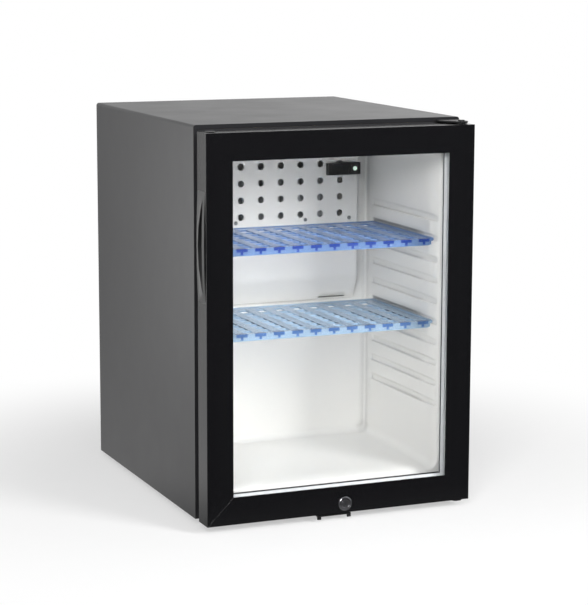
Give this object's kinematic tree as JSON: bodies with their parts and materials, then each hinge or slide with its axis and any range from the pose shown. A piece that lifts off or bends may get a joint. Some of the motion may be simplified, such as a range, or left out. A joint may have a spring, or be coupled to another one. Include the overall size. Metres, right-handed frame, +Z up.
{
  "type": "glass door minibar fridge",
  "caption": "Small black fridge with a hinged glass door in a mitred frame, white cavity, sliding blue shelves, cam lock and open rear cooling unit.",
  "frame": {"origin": "middle of the footprint on the floor", "axes": "+Z up, +X to the right seen from the front, +Y from the door to the back"},
  "size_m": [0.406, 0.4844, 0.56],
  "materials": {
    "black_steel": "satin black coating",
    "foam": "cellular",
    "white_liner": "smooth moulded",
    "galvanised_steel": "dull zinc coating",
    "fin_aluminium": "satin",
    "white_plastic": "smooth",
    "white_cover": "smooth moulded",
    "zinc_steel": "zinc plated",
    "black_plastic": "fine grain",
    "lens_plastic": "clear bright",
    "blue_shelf": "translucent",
    "black_profile": "satin black coated aluminium",
    "clear_glass": "polished",
    "spacer_bar": "satin",
    "white_retainer": "smooth extruded",
    "seal_rubber": "soft matt",
    "black_bracket": "black coated steel",
    "bush_plastic": "acetal",
    "dark_chrome": "polished dark",
    "foot_rubber": "matt",
    "black_pipe": "black painted steel tube"
  },
  "bodies": {
    "cabinet": {"outer_casing": "black_steel", "bottom_plate": "black_steel", "insulation_foam": "foam", "inner_liner": "white_liner", "back_panel": "galvanised_steel", "evaporator_block": "fin_aluminium", "drip_gutter": "white_plastic", "drain_tube": "white_plastic", "evaporator_cover": "white_cover", "cover_screws": "zinc_steel", "lamp_housing": "black_plastic", "lamp_lens": "lens_plastic", "hinge_bracket_top": "black_bracket", "hinge_pin_top": "zinc_steel", "hinge_bracket_bottom": "black_bracket", "hinge_pin_bottom": "zinc_steel", "hinge_screws": "zinc_steel", "keeper_bracket": "black_bracket", "keeper_screws": "zinc_steel", "rubber_feet": "foot_rubber", "foot_screws": "zinc_steel", "boiler_can": "galvanised_steel", "unit_cradle": "galvanised_steel", "absorber_vessel": "black_pipe", "absorber_coil": "black_pipe", "vapour_pipe": "black_pipe", "return_pipe": "black_pipe", "weak_solution_pipe": "black_pipe", "liquid_pipe": "black_pipe", "condenser_fins": "fin_aluminium", "terminal_box": "black_plastic", "cable_gland": "black_plastic", "rear_strut_low": "galvanised_steel", "rear_strut_high": "galvanised_steel", "strut_screws": "zinc_steel"},
    "door": {"door_profile_top": "black_profile", "door_profile_bottom": "black_profile", "door_profile_left": "black_profile", "door_profile_right": "black_profile", "corner_keys": "black_plastic", "outer_glass": "clear_glass", "glass_spacer": "spacer_bar", "inner_glass": "clear_glass", "inner_retainer": "white_retainer", "door_seal": "seal_rubber", "grip_left": "black_plastic", "grip_right": "black_plastic", "hinge_bush_top": "bush_plastic", "hinge_bush_bottom": "bush_plastic", "hole_plugs": "black_plastic", "lock_barrel": "dark_chrome", "lock_nut": "zinc_steel"},
    "lock_cylinder": {"lock_plug": "dark_chrome", "lock_cam": "zinc_steel", "cam_screw": "zinc_steel"},
    "upper_shelf": {"shelf_upper": "blue_shelf"},
    "lower_shelf": {"shelf_lower": "blue_shelf"}
  },
  "joints": [
    {"name": "door_hinge", "type": "hinge", "parent": "cabinet", "child": "door", "pos_m": [0.1885, -0.22225, 0.28], "axis": [0, 0, 1], "range_deg": [0, 115]},
    {"name": "lock_turn", "type": "hinge", "parent": "door", "child": "lock_cylinder", "pos_m": [0.005, -0.23925, 0.0253], "axis": [0, -1, 0], "range_deg": [0, 90]},
    {"name": "shelf_upper_slide", "type": "slide", "parent": "cabinet", "child": "upper_shelf", "axis": [0, -1, 0], "range_m": [0, 0.025]},
    {"name": "shelf_lower_slide", "type": "slide", "parent": "cabinet", "child": "lower_shelf", "axis": [0, -1, 0], "range_m": [0, 0.025]}
  ]
}
